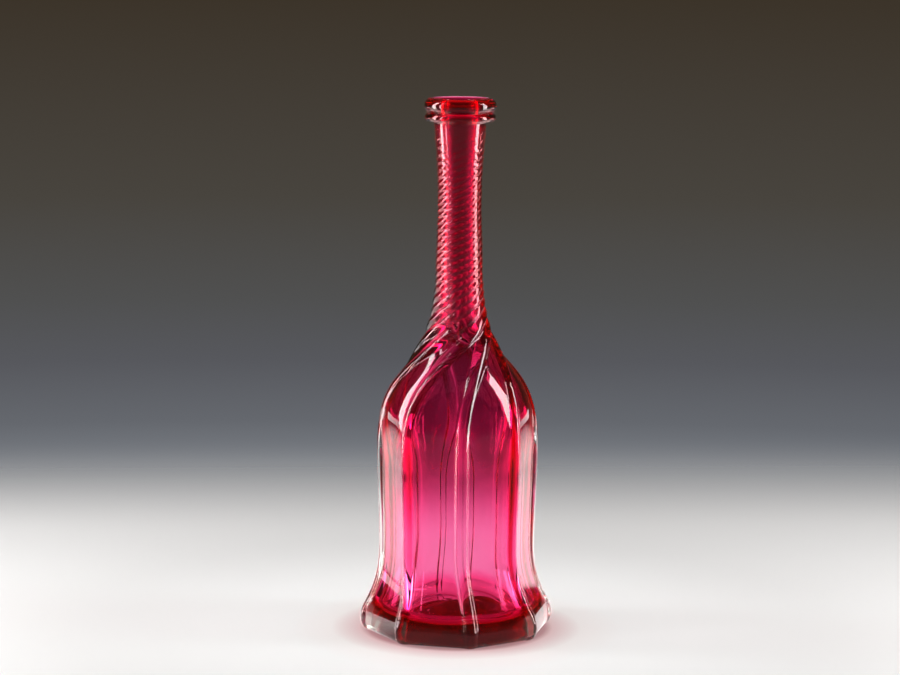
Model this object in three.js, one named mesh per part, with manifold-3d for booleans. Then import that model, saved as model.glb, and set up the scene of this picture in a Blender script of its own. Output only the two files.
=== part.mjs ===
// A serving bottle of ruby glass cased in clear glass. Eight ribs stand up the body,
// lean over on the shoulder and wind up the neck like a rope.
// Millimetres, +Z up. The origin is the middle of the foot, on the surface it stands on.
import * as THREE from "three";
import { mergeVertices } from "three/addons/utils/BufferGeometryUtils.js";
import Module from "manifold-3d";

// Outline over the rib crests. Each rise is measured from the station below it.
const footRadius = 52;
const heelRadius = 58.2;
const heelRise = 9;
const waistRadius = 46.4;
const waistRise = 45;
const bodyRadius = 48;
const bodyRise = 56;
const collarRadius = 13.85;
const shoulderRise = 112;
const neckRadius = 12.95;
const neckRise = 32;
const mouthRadius = 15.2;
const mouthRise = 50.5;

// How far each curve holds upright at its lower and its upper end, as a share of its rise
const flareHold = [0.19, 0.7];
const bodyHold = [0.33, 0.33];
const shoulderHold = [0.5625, 0.66];
const neckHold = [0.33, 0.33];
const mouthHold = [0.6, 0.1];

// Ribs: round pillars that stand proud of the corners between the panels. The root is where
// they crowd together, low on the neck.
const ribCount = 8;
const ribRadius = 4.1;
const ribFillet = 1.2;
const ribRootDrop = 41;
const ribProudFoot = 0.4;
const ribProudHeel = 1.1;
const ribProudWaist = 1.3;
const ribProudBody = 1.7;
const ribProudRoot = 2.1;
const ribProudNeck = 0.55;

// Twist of the ribs: the narrower the hot glass, the further each millimetre turned.
const neckTwistDegrees = 11.9;
const twistPower = 2.4;
const twistRunIn = 60;
const footLeanDegrees = 5.7;

// The flat panels end in an arch at the shoulder, where they round off over this height
const panelEndDrop = 11;
const panelEndRise = 39;

// The two layers of glass, the thick foot and its underside
const clearWallBody = 2.2;
const clearWallMouth = 2.6;
const rubyWall = 0.9;
const layerGap = 0.3;
const floorThickness = 9;
const floorDome = 3;
const floorCornerRadius = 9;
const innerCornerShare = 0.5;
const footRingBore = 40;
const kickRise = 4;
const pontilRadius = 11;
const pontilDepth = 0.8;

// Lip: two clear rings wound on round the mouth
const lowerRingHeight = 4.7;
const lowerRingRadius = 20.8;
const upperRingHeight = 8.3;
const upperRingRadius = 21.1;
const ringRoundness = 0.9;
const ringGap = 0.3;
const rimBelowLip = 0.6;
const rimRounding = 0.8;

// Facets
const columnsPerRib = 6;
const liningColumns = 32;
const ringColumns = 32;
const ringArcSteps = 5;
const heelRows = 3;
const flareRows = 6;
const bodyRows = 4;
const rowRise = 6.5;
const twistPerRowDegrees = 24;
const crowdingPower = 3;
const innerRows = [4, 2, 10, 2, 4];
const cornerRows = 4;
const domeRows = 3;

// Heights of the stations
const heelHeight = heelRise;
const waistHeight = heelHeight + waistRise;
const bodyHeight = waistHeight + bodyRise;
const panelEndLow = bodyHeight - panelEndDrop;
const panelEndHigh = panelEndLow + panelEndRise;
const collarHeight = bodyHeight + shoulderRise;
const ribRootHeight = collarHeight - ribRootDrop;
const neckHeight = collarHeight + neckRise;
const mouthHeight = neckHeight + mouthRise;
const lowerRingTop = mouthHeight + lowerRingHeight;
const upperRingBase = lowerRingTop + ringGap;
const lipTop = upperRingBase + upperRingHeight;
const rimHeight = lipTop - rimBelowLip;

const { degToRad, lerp, smoothstep, clamp, euclideanModulo } = THREE.MathUtils;
const ribPitch = (2 * Math.PI) / ribCount;

// A curve that leaves one station and reaches the next upright. x is the radius, y the height.
function uprightCurve(lowRadius, lowHeight, highRadius, highHeight, hold) {
  const rise = highHeight - lowHeight;
  return new THREE.CubicBezierCurve(
    new THREE.Vector2(lowRadius, lowHeight),
    new THREE.Vector2(lowRadius, lowHeight + hold[0] * rise),
    new THREE.Vector2(highRadius, highHeight - hold[1] * rise),
    new THREE.Vector2(highRadius, highHeight),
  );
}

const heelCurve = new THREE.QuadraticBezierCurve(
  new THREE.Vector2(footRadius, 0),
  new THREE.Vector2(heelRadius, 0),
  new THREE.Vector2(heelRadius, heelHeight),
);

const wallCurves = [
  uprightCurve(heelRadius, heelHeight, waistRadius, waistHeight, flareHold),
  uprightCurve(waistRadius, waistHeight, bodyRadius, bodyHeight, bodyHold),
  uprightCurve(bodyRadius, bodyHeight, collarRadius, collarHeight, shoulderHold),
  uprightCurve(collarRadius, collarHeight, neckRadius, neckHeight, neckHold),
  uprightCurve(neckRadius, neckHeight, mouthRadius, mouthHeight, mouthHold),
];

const halvings = 30;

// Radius over the rib crests, found by halving along the curve that covers the height.
function crestRadius(height) {
  if (height >= mouthHeight) return mouthRadius;
  const curve = [heelCurve, ...wallCurves].find((each) => each.getPoint(1).y > height);
  let low = 0;
  let high = 1;
  for (let i = 0; i < halvings; i++) {
    const middle = (low + high) / 2;
    if (curve.getPoint(middle).y < height) low = middle;
    else high = middle;
  }
  return curve.getPoint(low).x;
}

// How far the ribs stand proud of the panels. It eases from each station to the next.
const ribProudStations = [
  [0, ribProudFoot],
  [heelHeight, ribProudHeel],
  [waistHeight, ribProudWaist],
  [bodyHeight, ribProudBody],
  [ribRootHeight, ribProudRoot],
  [collarHeight, ribProudNeck],
  [neckHeight, ribProudNeck],
  [mouthHeight, 0],
];

function ribProud(height) {
  const next = ribProudStations.findIndex(([station]) => station > height);
  if (next < 0) return 0;
  const [lowHeight, lowProud] = ribProudStations[next - 1];
  const [highHeight, highProud] = ribProudStations[next];
  return lerp(lowProud, highProud, smoothstep(height, lowHeight, highHeight));
}

// Turn of the ribs for each millimetre of height, in radians
function twistRate(height) {
  if (height > mouthHeight) return 0;
  const drawn = (neckRadius / crestRadius(height)) ** twistPower;
  return degToRad(neckTwistDegrees) * drawn * smoothstep(height, bodyHeight, bodyHeight + twistRunIn);
}

// The turn at evenly spaced heights, added up from the body to the mouth
const twistSteps = 1000;
const twistStep = (mouthHeight - bodyHeight) / twistSteps;
const turns = [0];
for (let i = 0; i < twistSteps; i++) {
  turns.push(turns[i] + twistRate(bodyHeight + (i + 0.5) * twistStep) * twistStep);
}

// Turn of the ribs at a height. The ribs also lean a little where the foot flares.
function twist(height) {
  const steps = clamp((height - bodyHeight) / twistStep, 0, twistSteps);
  const step = Math.min(Math.floor(steps), twistSteps - 1);
  const lean = degToRad(footLeanDegrees) * (1 - smoothstep(height, heelHeight, waistHeight));
  return lean + lerp(turns[step], turns[step + 1], steps - step);
}

// How much wider than square across a level section cuts a leaning rib
function slant(height) {
  return Math.hypot(1, crestRadius(height) * twistRate(height));
}

// Half the width of a rib with its fillet, as an angle. Where ribs touch, each has its share.
function ribHalfAngle(height) {
  const halfWidth = (ribRadius + ribFillet) * slant(height);
  return Math.min(halfWidth / crestRadius(height), ribPitch / 2);
}

// Radius of the panels, by the angle from a rib: an octagon on the body, a circle above it.
// The corner share is 1 for a full corner between two panels and less for a softer one.
function panelRadius(angle, height, cornerShare = 1) {
  const corner = crestRadius(height) - ribProud(height);
  const fromMiddle = euclideanModulo(angle, ribPitch) - ribPitch / 2;
  const middle = corner * Math.cos(ribPitch / 2);
  const flat = lerp(middle, middle / Math.cos(fromMiddle), cornerShare);
  return lerp(flat, corner, smoothstep(height, panelEndLow, panelEndHigh));
}

// Radius of the outside: the panels and the nearest rib, joined with a fillet
function outerRadius(angle, height) {
  const fromRib = euclideanModulo(angle + ribPitch / 2, ribPitch) - ribPitch / 2;
  const ribAxis = crestRadius(height) - ribRadius;
  const across = clamp((ribAxis * Math.sin(fromRib)) / (ribRadius * slant(height)), -1, 1);
  const rib = ribAxis * Math.cos(fromRib) + ribRadius * Math.sqrt(1 - across ** 2);
  const panel = panelRadius(angle, height);
  const fillet = Math.min(ribFillet, ribProud(height));
  const overlap = Math.max(fillet - Math.abs(rib - panel), 0);
  return Math.max(rib, panel) + (fillet > 0 ? overlap ** 2 / (4 * fillet) : 0);
}

// Angle of one of the outside's columns from the first rib: close together over a narrow rib,
// and even where the ribs touch.
function columnAngle(column, height) {
  const half = columnsPerRib / 2;
  const rib = Math.floor(column / columnsPerRib);
  const step = (column % columnsPerRib) - half;
  const halfAngle = ribHalfAngle(height);
  const even = (step / half) * (ribPitch / 2);
  const narrow = step === -half ? even : (step / (half - 1)) * halfAngle;
  const crowding = (halfAngle / (ribPitch / 2)) ** crowdingPower;
  return rib * ribPitch + lerp(narrow, even, crowding);
}

// A level loop of points, anticlockwise from above
function levelLoop(columns, height, angleOf, radiusAt) {
  return Array.from({ length: columns }, (_, column) => {
    const angle = angleOf(column);
    const radius = radiusAt(angle);
    return new THREE.Vector3(radius * Math.cos(angle), radius * Math.sin(angle), height);
  });
}

// A closed solid through loops of points, which closes on the axis at both ends
function loft(loops, firstHeight, lastHeight) {
  const columns = loops[0].length;
  const points = loops.flat();
  const first = points.push(new THREE.Vector3(0, 0, firstHeight)) - 1;
  const last = points.push(new THREE.Vector3(0, 0, lastHeight)) - 1;
  const lastLoop = (loops.length - 1) * columns;
  const faces = [];
  for (let column = 0; column < columns; column++) {
    const next = (column + 1) % columns;
    faces.push(first, next, column);
    faces.push(last, lastLoop + column, lastLoop + next);
    for (let low = 0; low < lastLoop; low += columns) {
      const high = low + columns;
      faces.push(low + column, low + next, high + column);
      faces.push(low + next, high + next, high + column);
    }
  }
  return new THREE.BufferGeometry().setFromPoints(points).setIndex(faces);
}

const manifold = await Module();
manifold.setup();

function solidOf(geometry) {
  const merged = mergeVertices(geometry);
  return new manifold.Manifold(
    new manifold.Mesh({
      numProp: 3,
      vertProperties: new Float32Array(merged.attributes.position.array),
      triVerts: new Uint32Array(merged.index.array),
    }),
  );
}

function hollowed(outside, inside) {
  const mesh = solidOf(outside).subtract(solidOf(inside)).getMesh();
  const geometry = new THREE.BufferGeometry();
  geometry.setAttribute("position", new THREE.BufferAttribute(mesh.vertProperties, 3));
  geometry.setIndex(new THREE.BufferAttribute(mesh.triVerts, 1));
  geometry.computeVertexNormals();
  return geometry;
}

function outerLoop(height, inset = 0) {
  return levelLoop(
    columnsPerRib * ribCount,
    height,
    (column) => columnAngle(column, height) + twist(height),
    (angle) => outerRadius(angle - twist(height), height) - inset,
  );
}

// A round loop on the underside, its columns in line with those of the foot
function undersideLoop(radius, height) {
  return outerLoop(0).map((point) => point.setLength(radius).setZ(height));
}

// Heights of the outside's loops. From the shoulder up, a row is never so high that its
// edges cut across the wind of a rib.
function outerHeights() {
  const [flare, body] = wallCurves;
  const heights = [
    ...heelCurve.getPoints(heelRows),
    ...flare.getPoints(flareRows).slice(1),
    ...body.getPoints(bodyRows).slice(1),
  ].map((point) => point.y);
  for (let height = bodyHeight; height < mouthHeight; ) {
    height += Math.min(rowRise, degToRad(twistPerRowDegrees) / twistRate(height));
    heights.push(Math.min(height, mouthHeight));
  }
  return heights;
}

function outsideSolid() {
  const underside = [undersideLoop(pontilRadius, kickRise)];
  for (let row = 1; row <= domeRows; row++) {
    const share = row / domeRows;
    const radius = lerp(pontilRadius, footRingBore, share);
    underside.push(undersideLoop(radius, kickRise * (1 - share ** 2)));
  }
  const wall = outerHeights().map((height) => outerLoop(height));
  const rim = [outerLoop(rimHeight - rimRounding), outerLoop(rimHeight, rimRounding)];
  return loft([...underside, ...wall, ...rim], kickRise + pontilDepth, rimHeight);
}

function clearWall(height) {
  return lerp(clearWallBody, clearWallMouth, smoothstep(height, bodyHeight, mouthHeight));
}

// Radius of the hollow inside the clear glass, which follows the panels
function hollowRadius(angle, height) {
  return panelRadius(angle - twist(height), height, innerCornerShare) - clearWall(height);
}

// The hollow as a solid, or one that lies further in by an inset. It has a domed floor and a
// round corner under the wall, and runs up to the top height.
function hollowSolid(inset, topHeight) {
  const floor = floorThickness + inset;
  const corner = floorCornerRadius - inset;
  const wallFoot = floor + corner;
  const loopAt = (height, wallHeight = height, shaped = (radius) => radius) =>
    levelLoop(
      liningColumns,
      height,
      (column) => (column / liningColumns) * 2 * Math.PI,
      (angle) => shaped(hollowRadius(angle, wallHeight) - inset),
    );
  const loops = [];
  for (let row = 1; row < domeRows; row++) {
    const share = row / domeRows;
    const height = floor + floorDome * (1 - share ** 2);
    loops.push(loopAt(height, wallFoot, (radius) => share * (radius - corner)));
  }
  for (let row = 0; row < cornerRows; row++) {
    const turn = ((row / cornerRows) * Math.PI) / 2;
    const height = floor + corner * (1 - Math.cos(turn));
    loops.push(loopAt(height, wallFoot, (radius) => radius - corner * (1 - Math.sin(turn))));
  }
  loops.push(loopAt(wallFoot));
  wallCurves.forEach((curve, index) => {
    const heights = curve.getPoints(innerRows[index]).slice(1).map((point) => point.y);
    loops.push(...heights.filter((height) => height > wallFoot).map((height) => loopAt(height)));
  });
  loops.push(loopAt(topHeight));
  return loft(loops, floor + floorDome, topHeight);
}

// A ring of glass wound on round the mouth: flat to the neck and half round outside
function ringGeometry(radius, height) {
  const bore = mouthRadius + layerGap;
  const bulge = (ringRoundness * height) / 2;
  const outline = new THREE.Path();
  outline.moveTo(bore, -height / 2);
  outline.absellipse(radius - bulge, 0, bulge, height / 2, -Math.PI / 2, Math.PI / 2);
  outline.lineTo(bore, height / 2);
  outline.closePath();
  const points = outline.getPoints(ringArcSteps);
  return new THREE.LatheGeometry(points, ringColumns).rotateX(Math.PI / 2);
}

const clearGlass = new THREE.MeshStandardMaterial({
  color: 0xeee6e4,
  roughness: 0.04,
  metalness: 0,
  transparent: true,
  opacity: 0.35,
});

const rubyGlass = new THREE.MeshStandardMaterial({
  color: 0xc2124a,
  roughness: 0.05,
  metalness: 0,
  transparent: true,
  opacity: 0.75,
});

function piece(name, geometry, material, height = 0) {
  const mesh = new THREE.Mesh(geometry, material.clone());
  mesh.name = name;
  mesh.position.z = height;
  return mesh;
}

const pastRim = rimHeight + layerGap;
const bottle = new THREE.Group();
bottle.name = "serving_bottle";
bottle.add(
  piece("clear_casing", hollowed(outsideSolid(), hollowSolid(0, pastRim)), clearGlass),
  piece(
    "ruby_lining",
    hollowed(hollowSolid(layerGap, rimHeight), hollowSolid(layerGap + rubyWall, pastRim)),
    rubyGlass,
  ),
  piece(
    "lower_lip_ring",
    ringGeometry(lowerRingRadius, lowerRingHeight),
    clearGlass,
    mouthHeight + lowerRingHeight / 2,
  ),
  piece(
    "upper_lip_ring",
    ringGeometry(upperRingRadius, upperRingHeight),
    clearGlass,
    upperRingBase + upperRingHeight / 2,
  ),
);

export default bottle;
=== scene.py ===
# A serving bottle of ruby glass cased in clear glass, on a pale table between two softboxes.
import math

import bpy
import numpy as np
from mathutils import Matrix, Vector


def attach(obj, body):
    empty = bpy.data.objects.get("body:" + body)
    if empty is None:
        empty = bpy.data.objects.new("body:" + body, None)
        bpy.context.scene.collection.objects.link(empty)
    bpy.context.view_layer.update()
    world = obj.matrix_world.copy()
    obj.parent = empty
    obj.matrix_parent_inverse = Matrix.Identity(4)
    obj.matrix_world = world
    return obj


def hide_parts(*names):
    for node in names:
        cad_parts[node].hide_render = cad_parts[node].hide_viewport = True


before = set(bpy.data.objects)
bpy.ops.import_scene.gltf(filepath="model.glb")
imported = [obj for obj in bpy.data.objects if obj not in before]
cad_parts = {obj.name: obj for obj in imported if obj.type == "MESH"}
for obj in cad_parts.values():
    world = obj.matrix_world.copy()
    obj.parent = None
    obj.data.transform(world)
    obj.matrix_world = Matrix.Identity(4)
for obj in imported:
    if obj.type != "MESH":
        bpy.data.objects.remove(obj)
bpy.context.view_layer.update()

MM = 0.001

# Outline over the rib crests, in millimetres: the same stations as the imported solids
FOOT_RADIUS, HEEL_RADIUS, WAIST_RADIUS, BODY_RADIUS = 52.0, 58.2, 46.4, 48.0
COLLAR_RADIUS, NECK_RADIUS, MOUTH_RADIUS = 13.85, 12.95, 15.2
HEEL, WAIST, BODY, ROOT, COLLAR, NECK, MOUTH = 9.0, 54.0, 110.0, 181.0, 222.0, 254.0, 304.5
RIM, LIP_TOP = 317.2, 317.8

# The ribs, and how far they stand proud at each height
RIBS = 8
PITCH = 2 * math.pi / RIBS
RIB_RADIUS, RIB_FILLET = 4.1, 1.2
PROUD_STATIONS = [
    (0, 0.4), (HEEL, 1.1), (WAIST, 1.3), (BODY, 1.7),
    (ROOT, 2.1), (COLLAR, 0.55), (NECK, 0.55), (MOUTH, 0.0),
]
# Their turn: degrees in each millimetre of the neck, its power and run-in, and degrees at the foot
NECK_TWIST, TWIST_POWER, TWIST_RUN_IN, FOOT_LEAN = 11.9, 2.4, 60.0, 5.7
# The panels between them go from flat to round between these heights
FACET_END = (99.0, 138.0)

# The clear wall, the floor with its dome and corner, and how much of the octagon shows inside
CLEAR_WALL_BODY, CLEAR_WALL_MOUTH = 2.2, 2.6
FLOOR, DOME, CORNER, INNER_CORNER_SHARE = 9.0, 6.5, 9.0, 0.1
# The blown floor is uneven, by waves with a count round the bottle, a share and a phase
FLOOR_WAVE = 2.2
FLOOR_WAVES = [(1, 1.0, 2.4), (2, 0.6, 0.5), (5, 0.3, 0.0)]
# How far in from the clear wall the bore and the ruby's inner face lie, and how high bore and ruby reach
BORE, RUBY_IN = 1.2, 1.17
BORE_TOP, RUBY_TOP = RIM - 1.6, RIM - 0.2

# The ruby's depth at the foot, body, shoulder, neck, lip and rim, and the heights where it changes
RUBY_DEPTHS = [2.3, 0.85, 1.9, 3.1, 3.4, 6.2]
RUBY_CHANGES = [(14, 27), (56, 110), (150, 240), (280, 306), (309.5, 315.5)]
# How much deeper it lies in the middle of the floor
RUBY_PUDDLE = 2.5

# The underside, and a film of air between the foot and the table, as under a real bottle
FOOT_RING_BORE, KICK_RISE, PONTIL_RADIUS, PONTIL_DEPTH = 40.0, 4.0, 11.0, 0.8
AIR_UNDER = 0.05

# The lip's two rings: radius and height of the middle, bulge and half height
LOWER_RING = (18.685, 306.85, 2.115, 2.35)
UPPER_RING = (17.365, 313.65, 3.735, 4.15)
LIP_FILLET = 0.8
# The crevice between the rings, and the rim from its crown in to its edge
CREVICE_RADIUS, CREVICE_BOTTOM, CREVICE_TOP = 18.1, 309.35, 309.45
RIM_CROWN, RIM_SHOULDER, RIM_EDGE = (15.9, LIP_TOP), (14.9, 317.3), (13.6, RIM)

# Columns of the meshes, with the share of them over each rib, and the rib's width as they see it
COLUMNS_PER_RIB, OVER_RIB, RIB_SPREAD = 28, 0.65, 1.06
RUBY_COLUMNS = 160
# Rows of the outside, with the longest step and the largest turn in one step
HEEL_ROWS, FOOT_ROWS, BODY_ROWS = 12, 40, 36
LONGEST_STEP, TURN_PER_STEP = 1.3, math.radians(5)
# Rows of the inside and of the underside
FLOOR_ROWS, CORNER_ROWS, HOLLOW_STEP, KICK_ROWS = 20, 11, 1.6, 10


def smoothstep(x, low, high):
    t = np.clip((np.asarray(x, float) - low) / (high - low), 0, 1)
    return t * t * (3 - 2 * t)


def bezier(points, t):
    points = [np.asarray(p, float)[None, :] for p in points]
    t = np.asarray(t, float)[:, None]
    while len(points) > 1:
        points = [a * (1 - t) + b * t for a, b in zip(points, points[1:])]
    return points[0]


def upright(r0, z0, r1, z1, hold):
    """A curve that leaves and arrives upright, held for a share of the rise at each end."""
    rise = z1 - z0
    return [(r0, z0), (r0, z0 + hold[0] * rise), (r1, z1 - hold[1] * rise), (r1, z1)]


CURVES = [
    [(FOOT_RADIUS, 0), (HEEL_RADIUS, 0), (HEEL_RADIUS, HEEL)],
    upright(HEEL_RADIUS, HEEL, WAIST_RADIUS, WAIST, (0.19, 0.7)),
    upright(WAIST_RADIUS, WAIST, BODY_RADIUS, BODY, (0.33, 0.33)),
    upright(BODY_RADIUS, BODY, COLLAR_RADIUS, COLLAR, (0.5625, 0.66)),
    upright(COLLAR_RADIUS, COLLAR, NECK_RADIUS, NECK, (0.33, 0.33)),
    upright(NECK_RADIUS, NECK, MOUTH_RADIUS, MOUTH, (0.6, 0.1)),
]
PROFILE = np.vstack([
    bezier(curve, np.linspace(0, 1, 600))[i > 0:] for i, curve in enumerate(CURVES)
])


def crest(z):
    """The radius over the ribs."""
    return np.interp(z, PROFILE[:, 1], PROFILE[:, 0])


def proud(z):
    """How far the ribs stand out from the wall between them."""
    z = np.asarray(z, float)
    value = np.zeros_like(z)
    for (z0, p0), (z1, p1) in zip(PROUD_STATIONS, PROUD_STATIONS[1:]):
        inside = (z >= z0) & (z < z1)
        value = np.where(inside, p0 + (p1 - p0) * smoothstep(z, z0, z1), value)
    return value


def twist_rate(z):
    """The turn in each millimetre: the narrower the drawn glass, the more it is turned."""
    drawn = (NECK_RADIUS / crest(z)) ** TWIST_POWER
    rate = math.radians(NECK_TWIST) * drawn * smoothstep(z, BODY, BODY + TWIST_RUN_IN)
    return np.where(np.asarray(z) > MOUTH, 0, rate)


TWIST_HEIGHTS = np.linspace(BODY, MOUTH, 4001)
TWIST_TURNS = np.concatenate([[0], np.cumsum(
    twist_rate((TWIST_HEIGHTS[1:] + TWIST_HEIGHTS[:-1]) / 2) * np.diff(TWIST_HEIGHTS)
)])


def twist(z):
    """The angle that the ribs have turned through at a height."""
    lean = math.radians(FOOT_LEAN) * (1 - smoothstep(z, HEEL, WAIST))
    return lean + np.interp(z, TWIST_HEIGHTS, TWIST_TURNS)


def slant(z):
    """How much wider a level cut through a rib is, because the rib leans."""
    return np.hypot(1, crest(z) * twist_rate(z))


def panel_radius(angle, z, corner_share=1.0):
    """The wall between the ribs: flat on the body, round above, with a share of the corners."""
    corner = crest(z) - proud(z)
    from_middle = np.mod(angle, PITCH) - PITCH / 2
    middle = corner * math.cos(PITCH / 2)
    flat = middle + (middle / np.cos(from_middle) - middle) * corner_share
    return flat + (corner - flat) * smoothstep(z, *FACET_END)


def outer_radius(angle, z):
    """The outside at an angle from a rib: round ribs and panels, joined by fillets."""
    from_rib = np.mod(angle + PITCH / 2, PITCH) - PITCH / 2
    axis = crest(z) - RIB_RADIUS
    across = np.clip(axis * np.sin(from_rib) / (RIB_RADIUS * slant(z)), -1, 1)
    rib = axis * np.cos(from_rib) + RIB_RADIUS * np.sqrt(1 - across**2)
    panel = panel_radius(angle, z)
    fillet = np.minimum(RIB_FILLET, proud(z))
    overlap = np.maximum(fillet - np.abs(rib - panel), 0)
    blend = np.where(fillet > 0, overlap**2 / (4 * np.maximum(fillet, 1e-6)), 0)
    return np.maximum(rib, panel) + blend


def hollow_radius(angle, z):
    """The inner face of the clear wall."""
    clear = CLEAR_WALL_BODY + (CLEAR_WALL_MOUTH - CLEAR_WALL_BODY) * smoothstep(z, BODY, MOUTH)
    return panel_radius(angle - twist(z), z, INNER_CORNER_SHARE) - clear


def column_angles(z):
    """The columns of one row, about two thirds of them over the ribs themselves."""
    spread = RIB_SPREAD * (RIB_RADIUS + RIB_FILLET) * slant(z) / crest(z)
    half_angle = np.minimum(spread, OVER_RIB * PITCH / 2)
    u = np.linspace(-1, 1, COLUMNS_PER_RIB, endpoint=False)
    over = u / OVER_RIB * half_angle
    past = (np.abs(u) - OVER_RIB) / (1 - OVER_RIB)
    beside = np.sign(u) * (half_angle + past * (PITCH / 2 - half_angle))
    one = np.where(np.abs(u) < OVER_RIB, over, beside)
    return (one[None, :] + np.arange(RIBS)[:, None] * PITCH).ravel()


def loop(radius, angle, z):
    z = np.broadcast_to(np.asarray(z, float), np.shape(angle))
    return np.stack([radius * np.cos(angle), radius * np.sin(angle), z], axis=1)


def outer_loop(z):
    own = column_angles(z)
    return loop(outer_radius(own, z), own + twist(z), max(z, AIR_UNDER))


def loft(loops, first, last):
    """One closed skin over the loops, which ends in points on the axis at first and last."""
    columns = len(loops[0])
    points = np.vstack(loops + [np.array([[0, 0, first], [0, 0, last]])]) * MM
    rows = len(loops)
    column = np.arange(columns)
    after = (column + 1) % columns
    low = (np.arange(rows - 1) * columns)[:, None]
    corners = [low + column, low + after, low + columns + after, low + columns + column]
    quads = np.stack(corners, axis=2).reshape(-1, 4)
    top = (rows - 1) * columns
    end = rows * columns
    fans = [(end, int(b), int(a)) for a, b in zip(column, after)]
    fans += [(end + 1, top + int(a), top + int(b)) for a, b in zip(column, after)]
    return points, quads.tolist() + fans


def new_piece(name, points, faces, material):
    mesh = bpy.data.meshes.new(name)
    mesh.from_pydata(points.tolist(), [], faces)
    mesh.polygons.foreach_set("use_smooth", np.ones(len(mesh.polygons), bool))
    mesh.update()
    mesh.materials.append(material)
    piece = bpy.data.objects.new(name, mesh)
    bpy.context.scene.collection.objects.link(piece)
    return piece


def arc(ring, start, stop, count):
    r, z, bulge, half = ring
    turn = np.radians(np.linspace(start, stop, count))
    return np.stack([r + bulge * np.cos(turn), z + half * np.sin(turn)], axis=1)


def lip_outline():
    """The lip, from the neck out over both rings and in to the mouth."""
    turn = np.linspace(0, math.pi / 2, 7)
    root = np.stack([
        MOUTH_RADIUS + LIP_FILLET * (1 - np.cos(turn)), MOUTH - LIP_FILLET * (1 - np.sin(turn)),
    ], axis=1)
    lower = arc(LOWER_RING, -90, 66, 22)
    upper = arc(UPPER_RING, -60, 90, 26)
    between = [lower[-1], (CREVICE_RADIUS, CREVICE_BOTTOM), (CREVICE_RADIUS, CREVICE_TOP), upper[0]]
    crevice = bezier(between, np.linspace(0, 1, 7)[1:-1])
    inward = bezier([upper[-1], RIM_CROWN, RIM_SHOULDER, RIM_EDGE], np.linspace(0, 1, 9)[1:])
    inner = MOUTH_RADIUS - CLEAR_WALL_MOUTH - BORE
    edge = bezier([RIM_EDGE, (inner, RIM), (inner, BORE_TOP)], np.linspace(0, 1, 10)[1:])
    return np.vstack([root, lower, crevice, upper, inward, edge])


def wall_heights():
    """The heights of the rows, closer together where the ribs turn fast."""
    heights = list(bezier(CURVES[0], np.linspace(0, 1, HEEL_ROWS))[:, 1])
    heights += list(np.linspace(HEEL, WAIST, FOOT_ROWS)[1:])
    heights += list(np.linspace(WAIST, BODY, BODY_ROWS)[1:])
    z, top = BODY, MOUTH - LIP_FILLET
    while z < top:
        z += min(LONGEST_STEP, TURN_PER_STEP / max(float(twist_rate(z)), 1e-9))
        heights.append(min(z, top))
    return heights


def ruby_thickness(z):
    depth = RUBY_DEPTHS[0]
    for before, after, heights in zip(RUBY_DEPTHS, RUBY_DEPTHS[1:], RUBY_CHANGES):
        depth = depth + (after - before) * smoothstep(z, *heights)
    return depth


def hollow_loops(inset, angles, top, puddle=0.0):
    """Loops from the middle of the floor up the wall, inset(height) in from the clear wall."""
    low = float(inset(FLOOR + CORNER))
    floor, corner = FLOOR + low, CORNER - low
    foot = floor + corner
    radius = hollow_radius(angles, foot) - low
    waves = sum(share * np.sin(count * angles + phase) for count, share, phase in FLOOR_WAVES)
    loops = []
    for share in np.linspace(0, 1, FLOOR_ROWS)[1:-1]:
        uneven = FLOOR_WAVE * share * (1 - share**2) * waves
        domed = floor + (DOME - puddle) * (1 - share**2)
        loops.append(loop(share * (radius - corner), angles, domed + uneven))
    for turn in np.linspace(0, math.pi / 2, CORNER_ROWS)[:-1]:
        height = floor + corner * (1 - math.cos(turn))
        loops.append(loop(radius - corner * (1 - math.sin(turn)), angles, height))
    for z in np.linspace(foot, top, int((top - foot) / HOLLOW_STEP)):
        loops.append(loop(hollow_radius(angles, z) - inset(z), angles, z))
    return loops, floor + DOME - puddle


def glass_body():
    """The casing and both rings as one body of glass, from the pontil mark out, up and back in."""
    foot = outer_loop(0.0)
    foot_angles = np.arctan2(foot[:, 1], foot[:, 0])
    loops = []
    for share in np.linspace(0, 1, KICK_ROWS):
        r = PONTIL_RADIUS + (FOOT_RING_BORE - PONTIL_RADIUS) * share
        loops.append(loop(r, foot_angles, AIR_UNDER + KICK_RISE * (1 - share**2)))
    loops += [outer_loop(z) for z in wall_heights()]
    angles = np.unwrap(np.arctan2(loops[-1][:, 1], loops[-1][:, 0]))
    loops += [loop(r, angles, z) for r, z in lip_outline()]
    inner, last = hollow_loops(lambda z: BORE, angles, BORE_TOP)
    loops += inner[::-1][1:]
    return loft(loops, KICK_RISE + PONTIL_DEPTH, last)


def ruby_shell():
    """The layer of ruby as one closed skin, from the floor up its outer face and down its inner."""
    angles = np.linspace(0, 2 * math.pi, RUBY_COLUMNS, endpoint=False)
    outside, first = hollow_loops(
        lambda z: RUBY_IN - ruby_thickness(z), angles, RUBY_TOP, RUBY_PUDDLE
    )
    inside, last = hollow_loops(lambda z: RUBY_IN, angles, BORE_TOP)
    return loft(outside + inside[::-1], first, last)


# The seeds: how many, where they lie, how large they are and how far under the surface
SEEDS, SEED_HEIGHTS, SEED_SIZES, SEED_DEPTHS = 26, (30, 175), (0.14, 0.32), (0.7, 1.3)
SEED_STRETCH, SEED_RINGS, SEED_SIDES = 1.5, 5, 8


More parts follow.
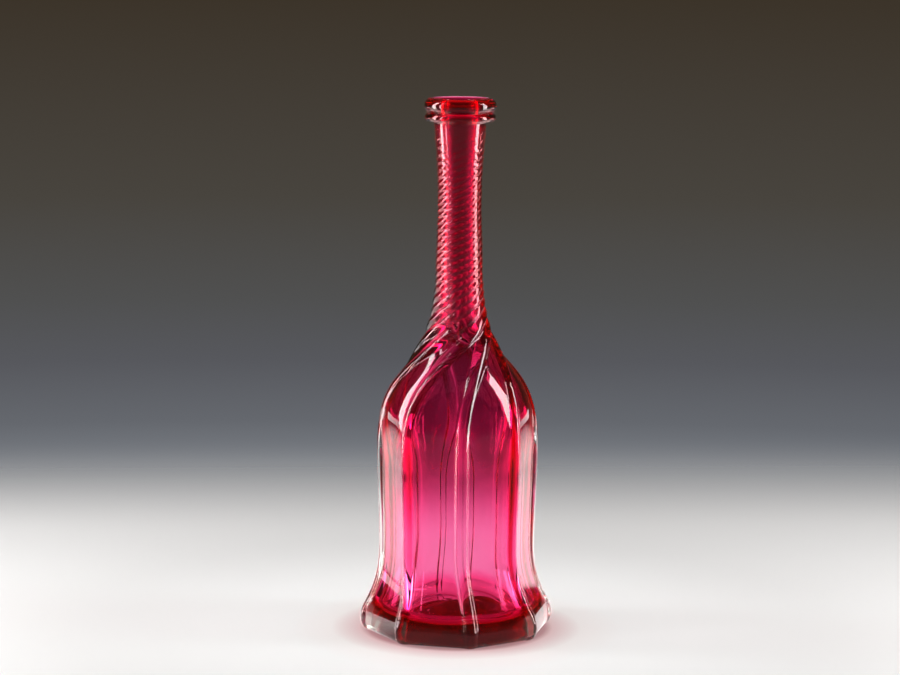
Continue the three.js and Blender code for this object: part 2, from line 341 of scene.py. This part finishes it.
def with_seeds(points, faces):
    """Small bubbles in the clear wall: closed balls turned inside out, stretched upwards."""
    random = np.random.default_rng(7)
    points, faces = points.copy(), list(faces)
    tilt = np.linspace(0, math.pi, SEED_RINGS + 2)[1:-1]
    turn = np.arange(SEED_SIDES) * 2 * math.pi / SEED_SIDES
    ball = np.stack([
        np.outer(np.sin(tilt), np.cos(turn)).ravel(), np.outer(np.sin(tilt), np.sin(turn)).ravel(),
        np.repeat(SEED_STRETCH * np.cos(tilt), SEED_SIDES),
    ], axis=1)
    ball = np.vstack([ball, [[0, 0, SEED_STRETCH], [0, 0, -SEED_STRETCH]]])
    for _ in range(SEEDS):
        z = random.uniform(*SEED_HEIGHTS)
        angle = random.uniform(0, 2 * math.pi)
        size = random.uniform(*SEED_SIZES)
        radius = float(panel_radius(angle - twist(z), z)) - random.uniform(*SEED_DEPTHS)
        middle = np.array([radius * math.cos(angle), radius * math.sin(angle), z])
        first_ring = len(points)
        points = np.vstack([points, (ball * size + middle) * MM])
        top = first_ring + SEED_RINGS * SEED_SIDES
        last_ring = top - SEED_SIDES
        for a in range(SEED_SIDES):
            b = (a + 1) % SEED_SIDES
            for ring in range(first_ring, last_ring, SEED_SIDES):
                below = ring + SEED_SIDES
                faces.append((ring + a, ring + b, below + b, below + a))
            faces.append((first_ring + b, first_ring + a, top))
            faces.append((last_ring + a, last_ring + b, top + 1))
    return points, faces


def srgb(*rgb):
    """A colour written in 0 to 255, as the linear one that the shaders take."""
    shares = [value / 255 for value in rgb]
    return tuple(c / 12.92 if c <= 0.04045 else ((c + 0.055) / 1.055) ** 2.4 for c in shares)


class Tree:
    """The node tree of a material or a world. A value is a number, a colour or an output."""

    def __init__(self, block):
        block.use_nodes = True
        self.nodes, self.links = block.node_tree.nodes, block.node_tree.links
        self.nodes.clear()

    def node(self, kind, inputs=None, **settings):
        made = self.nodes.new(kind)
        for name, value in settings.items():
            setattr(made, name, value)
        for name, value in (inputs or {}).items():
            if isinstance(value, bpy.types.NodeSocket):
                self.links.new(value, made.inputs[name])
            else:
                made.inputs[name].default_value = value
        return made

    def math(self, operation, *values, **settings):
        inputs = dict(enumerate(values))
        return self.node("ShaderNodeMath", inputs, operation=operation, **settings).outputs[0]

    def between(self, value, start, stop, low=0.0, high=1.0, kind="LINEAR"):
        """Low where the value is at start or before it, high at stop or past it."""
        inputs = {"Value": value, "From Min": start, "From Max": stop, "To Min": low, "To Max": high}
        return self.node("ShaderNodeMapRange", inputs, interpolation_type=kind).outputs[0]

    def smooth(self, value, start, stop, low=0.0, high=1.0):
        return self.between(value, start, stop, low, high, "SMOOTHSTEP")

    def length(self, vector):
        made = self.node("ShaderNodeVectorMath", {0: vector}, operation="LENGTH")
        return made.outputs["Value"]

    def ramp(self, value, stops):
        made = self.node("ShaderNodeValToRGB", {0: value})
        elements = made.color_ramp.elements
        while len(elements) < len(stops):
            elements.new(0.5)
        for element, (position, colour) in zip(elements, stops):
            element.position = position
            element.color = (*colour, 1)
        return made.outputs[0]

    def mix(self, share, first, second):
        return self.node("ShaderNodeMixShader", {0: share, 1: first, 2: second}).outputs[0]


def new_material(name):
    material = bpy.data.materials.new(name)
    return material, Tree(material)


# How rough the glass is: smears on all of it, the drawn bore, the scuffed ring and the hollow in it
SMEARED, DRAWN, SCUFFED, UNDER = 0.05, 0.22, 0.3, 0.2
# The smears' share of the noise, and the heights and radii in metres from none to full
SMEAR_SPAN, DRAWN_SPAN = (0.35, 0.8), (0.174, 0.192)
SCUFFED_SPAN, UNDER_SPAN, UNDER_REACH = (0.0009, 0.0002), (0.0062, 0.0056), (0.0425, 0.0405)
# The drawn bore's radius in the neck, how much it widens below that and where, and its soft edge
BORE_REACH, BORE_WIDENS, WIDENING_SPAN, BORE_EDGE = 0.0114, 0.007, (0.205, 0.175), 0.0002


def glass_roughness(tree, place):
    smears = tree.node("ShaderNodeTexNoise", {"Vector": place, "Scale": 45, "Detail": 5})
    smeared = tree.between(smears.outputs["Fac"], *SMEAR_SPAN, high=SMEARED)
    split = tree.node("ShaderNodeSeparateXYZ", {0: place}).outputs
    height = split["Z"]
    flat = tree.node("ShaderNodeCombineXYZ", {"X": split["X"], "Y": split["Y"]})
    reach = tree.length(flat.outputs[0])

    widening = tree.math("POWER", tree.between(height, *WIDENING_SPAN), 2)
    bore = tree.math("MULTIPLY_ADD", widening, BORE_WIDENS, BORE_REACH)
    inside = tree.between(tree.math("SUBTRACT", bore, reach), -BORE_EDGE, BORE_EDGE)
    above = tree.smooth(height, *DRAWN_SPAN, high=DRAWN)
    drawn = tree.math("MULTIPLY_ADD", inside, above, smeared)

    ring = tree.between(height, *SCUFFED_SPAN, high=SCUFFED)
    under = tree.between(height, *UNDER_SPAN, high=UNDER)
    hollow = tree.between(reach, *UNDER_REACH)
    worn = tree.math("MAXIMUM", ring, tree.math("MULTIPLY", under, hollow))
    return tree.math("MAXIMUM", worn, drawn)


def clear_glass():
    """Fire-polished glass with slow waves, a faint tint through its depth and a light shadow."""
    material, tree = new_material("fire_polished_clear_glass")
    place = tree.node("ShaderNodeTexCoord").outputs["Object"]
    waves = tree.node("ShaderNodeTexNoise", {"Vector": place, "Scale": 60, "Detail": 2})
    bump = tree.node("ShaderNodeBump", {
        "Height": waves.outputs["Fac"], "Strength": 0.25, "Distance": 0.0003,
    })
    glass = tree.node("ShaderNodeBsdfPrincipled", {
        "Base Color": (1, 1, 1, 1), "IOR": 1.5, "Transmission Weight": 1.0,
        "Roughness": glass_roughness(tree, place), "Normal": bump.outputs["Normal"],
    })
    shadow = tree.node("ShaderNodeBsdfTransparent", {"Color": (0.95, 0.925, 0.93, 1)})
    path = tree.node("ShaderNodeLightPath").outputs
    tint = tree.node("ShaderNodeVolumeAbsorption", {"Color": (0.3, 0.5, 0.36, 1), "Density": 9})
    tree.node("ShaderNodeOutputMaterial", {
        "Surface": tree.mix(path["Is Shadow Ray"], glass.outputs[0], shadow.outputs[0]),
        "Volume": tint.outputs[0],
    })
    return material


def ruby_glass():
    """Colour within the clear glass: it takes up light through its depth and bends none."""
    material, tree = new_material("ruby_glass")
    clear = tree.node("ShaderNodeBsdfTransparent")
    dye = tree.node("ShaderNodeVolumeAbsorption", {"Color": (0.975, 0.02, 0.5, 1), "Density": 1080})
    tree.node("ShaderNodeOutputMaterial", {"Surface": clear.outputs[0], "Volume": dye.outputs[0]})
    return material


# The table, in metres: half its width, and where each side starts to fade and is gone
TABLE_HALF = 1.2
TABLE_FADES = [("X", 0.60, 0.95), ("X", -0.60, -0.95), ("Y", 0.25, 0.60), ("Y", -0.125, -0.18)]
# Its colours by the distance from the bottle's axis: a painted shadow under the ruby floor, ringed by
# painted pink light from the glass, then the table's own pale colour further out
TABLE_REACH = 0.1
TABLE_COLOURS_AND_PAINTED_SHADOW = [
    (0.047, srgb(112, 46, 56)), (0.0535, srgb(158, 90, 96)), (0.058, srgb(214, 176, 178)),
    (0.075, srgb(236, 229, 227)), (0.099, srgb(238, 236, 235)),
]
# Painted light, as the table glows though it is no lamp: where it is mirrored, through the glass at the
# foot and past it, and to the camera
MIRRORED_GLOW, FOOT_GLOW, THROUGH_GLOW, CAMERA_GLOW = 1.5, 0.3, 0.45, 0.14
PAST_FOOT, NEAR_FOOT = (0.058, 0.08), (0.25, 0.09)
# How much of it the glass shows: it mirrors nothing in front, and nothing far aside is seen through it
IN_FRONT, FAR_ASIDE = (-0.05, 0.0), (0.34, 0.44)


def table_top():
    material, tree = new_material("pale_table_with_painted_shadow_and_light")
    place = tree.node("ShaderNodeNewGeometry").outputs["Position"]
    split = tree.node("ShaderNodeSeparateXYZ", {0: place}).outputs
    reach = tree.length(place)
    path = tree.node("ShaderNodeLightPath").outputs
    mirrored, through = path["Is Reflection Ray"], path["Is Transmission Ray"]

    # The base colour carries the painted shadow and the painted pink light round the foot
    stops = [(radius / TABLE_REACH, colour) for radius, colour in TABLE_COLOURS_AND_PAINTED_SHADOW]
    paint_with_painted_shadow = tree.node("ShaderNodeBsdfPrincipled", {
        "Base Color": tree.ramp(tree.between(reach, 0, TABLE_REACH), stops),
        "Roughness": 0.55, "Specular IOR Level": 0.2,
    })
    # Painted light: the table glows where the glass mirrors it or shows it, and to the camera near the
    # foot
    strength = tree.math("MULTIPLY", mirrored, MIRRORED_GLOW)
    past_foot = tree.smooth(reach, *PAST_FOOT, low=FOOT_GLOW, high=THROUGH_GLOW)
    strength = tree.math("MULTIPLY_ADD", through, past_foot, strength)
    near_foot = tree.smooth(reach, *NEAR_FOOT, high=CAMERA_GLOW)
    strength = tree.math("MULTIPLY_ADD", path["Is Camera Ray"], near_foot, strength)
    glow = tree.node("ShaderNodeEmission", {"Strength": strength})
    lit = tree.node("ShaderNodeAddShader", {0: paint_with_painted_shadow.outputs[0], 1: glow.outputs[0]})

    fades = [tree.smooth(split[axis], gone, solid) for axis, solid, gone in TABLE_FADES]
    present = fades[0]
    for fade in fades[1:]:
        present = tree.math("MULTIPLY", present, fade)
    in_front = tree.smooth(split["Y"], *IN_FRONT, low=1.0, high=0.0)
    aside = tree.smooth(tree.math("ABSOLUTE", split["X"]), *FAR_ASIDE)
    hidden = tree.math("MULTIPLY", mirrored, in_front)
    hidden = tree.math("MULTIPLY_ADD", through, aside, hidden)
    shown = tree.math("MULTIPLY", present, tree.math("SUBTRACT", 1.0, hidden))
    nothing = tree.node("ShaderNodeBsdfTransparent")
    tree.node("ShaderNodeOutputMaterial", {
        "Surface": tree.mix(shown, nothing.outputs[0], lit.outputs[0]),
    })
    return material


# The backdrop's colours by degrees above the horizon, and the sine at which they start
BACKDROP_LOW = -0.22
BACKDROP_COLOURS = [
    (-11.4, srgb(120, 124, 130)), (-10.6, srgb(101, 104, 110)), (-9.35, srgb(87, 88, 93)),
    (-8.1, srgb(80, 80, 80)), (-6.0, srgb(72, 68, 62)), (-2.0, srgb(60, 52, 42)),
]
AMBIENT = 0.06


def backdrop_world():
    """A backdrop for the camera and the glass, and a faint even light on everything else."""
    world = bpy.data.worlds.new("studio")
    tree = Tree(world)
    place = tree.node("ShaderNodeTexCoord").outputs["Generated"]
    height = tree.node("ShaderNodeSeparateXYZ", {0: place}).outputs["Z"]
    stops = [
        ((math.sin(math.radians(degrees)) - BACKDROP_LOW) / (0.0 - BACKDROP_LOW), colour)
        for degrees, colour in BACKDROP_COLOURS
    ]
    colour = tree.ramp(tree.between(height, BACKDROP_LOW, 0.0), stops)
    seen = tree.node("ShaderNodeBackground", {"Color": colour})
    ambient = tree.node("ShaderNodeBackground", {"Color": (1, 1, 1, 1), "Strength": AMBIENT})
    path = tree.node("ShaderNodeLightPath").outputs
    direct = tree.math("ADD", path["Is Camera Ray"], path["Is Glossy Ray"])
    any_of = tree.math("ADD", direct, path["Is Transmission Ray"], use_clamp=True)
    tree.node("ShaderNodeOutputWorld", {
        "Surface": tree.mix(any_of, ambient.outputs[0], seen.outputs[0]),
    })
    bpy.context.scene.world = world


# Name, degrees from the front to the left, distance, width, height, watts, and if the glass shows it
LAMPS = [
    ("softbox_left", 97, 0.7, 0.19, 0.9, 6.8, True),
    ("softbox_right", -83, 0.7, 0.20, 0.9, 7.3, True),
    ("sheen_left", 97, 0.7, 0.19, 0.9, 1.1, False),
    ("sheen_right", -83, 0.7, 0.20, 0.9, 1.2, False),
    ("strip_left", 70, 0.6, 0.045, 1.4, 2.6, True),
    ("card_left", 122, 1.1, 0.65, 0.09, 0.55, True),
    ("card_right", -122, 1.1, 0.65, 0.09, 0.55, True),
]


def softbox(name, azimuth, distance, width, height, power, seen_through):
    """A softbox that stands on the table's level and faces the bottle."""
    turn = math.radians(azimuth)
    direction = Vector((-math.sin(turn), -math.cos(turn), 0))
    light = bpy.data.lights.new(name, "AREA")
    light.shape = "RECTANGLE"
    light.size, light.size_y = width, height
    light.energy = power
    lamp = bpy.data.objects.new(name, light)
    lamp.location = direction * distance + Vector((0, 0, height / 2))
    lamp.rotation_euler = (-direction).to_track_quat("-Z", "Y").to_euler()
    lamp.visible_camera = False
    lamp.visible_transmission = seen_through
    bpy.context.scene.collection.objects.link(lamp)


# The camera, fitted to the photograph: millimetres, degrees and the photograph's pixels
CAMERA_DISTANCE, CAMERA_HEIGHT, CAMERA_AZIMUTH = 1634.0, 431.6, -3.3
PITCH_DOWN, YAW_LEFT, ROLL = 8.89, 0.177, 0.45
FOCAL_PIXELS, FRAME_WIDTH, SENSOR_WIDTH = 2790.0, 900.0, 36


def add_camera():
    azimuth = math.radians(CAMERA_AZIMUTH)
    place = Vector((math.sin(azimuth), -math.cos(azimuth), 0)) * CAMERA_DISTANCE * MM
    place.z = CAMERA_HEIGHT * MM
    heading = azimuth + math.radians(YAW_LEFT)
    down, roll = math.radians(PITCH_DOWN), math.radians(ROLL)
    level = math.cos(down)
    forward = Vector((-math.sin(heading) * level, math.cos(heading) * level, -math.sin(down)))
    right = forward.cross(Vector((0, 0, 1))).normalized()
    up = right.cross(forward)
    x = right * math.cos(roll) + up * math.sin(roll)
    y = up * math.cos(roll) - right * math.sin(roll)
    camera = bpy.data.objects.new("camera", bpy.data.cameras.new("camera"))
    camera.data.sensor_width = SENSOR_WIDTH
    camera.data.lens = FOCAL_PIXELS / FRAME_WIDTH * SENSOR_WIDTH
    camera.matrix_world = Matrix((
        (x.x, y.x, -forward.x, place.x),
        (x.y, y.y, -forward.y, place.y),
        (x.z, y.z, -forward.z, place.z),
        (0, 0, 0, 1),
    ))
    bpy.context.scene.collection.objects.link(camera)
    bpy.context.scene.camera = camera


add_camera()

body = new_piece("clear_glass", *with_seeds(*glass_body()), clear_glass())
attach(body, "root")
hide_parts("clear_casing", "lower_lip_ring", "upper_lip_ring")

ruby = new_piece("ruby_layer", *ruby_shell(), ruby_glass())
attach(ruby, "root")
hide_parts("ruby_lining")
ruby.visible_shadow = False

square = np.array([[-1, -1, 0], [1, -1, 0], [1, 1, 0], [-1, 1, 0]])
floor = new_piece("table", square * TABLE_HALF, [(0, 1, 2, 3)], table_top())

backdrop_world()
for lamp in LAMPS:
    softbox(*lamp)

# Light crosses many surfaces in the glass before it gets out
scene = bpy.context.scene
scene.view_settings.view_transform = "Standard"
scene.cycles.caustics_refractive = False
scene.cycles.max_bounces = 32
scene.cycles.transmission_bounces = 24
scene.cycles.glossy_bounces = 12
scene.cycles.transparent_max_bounces = 48
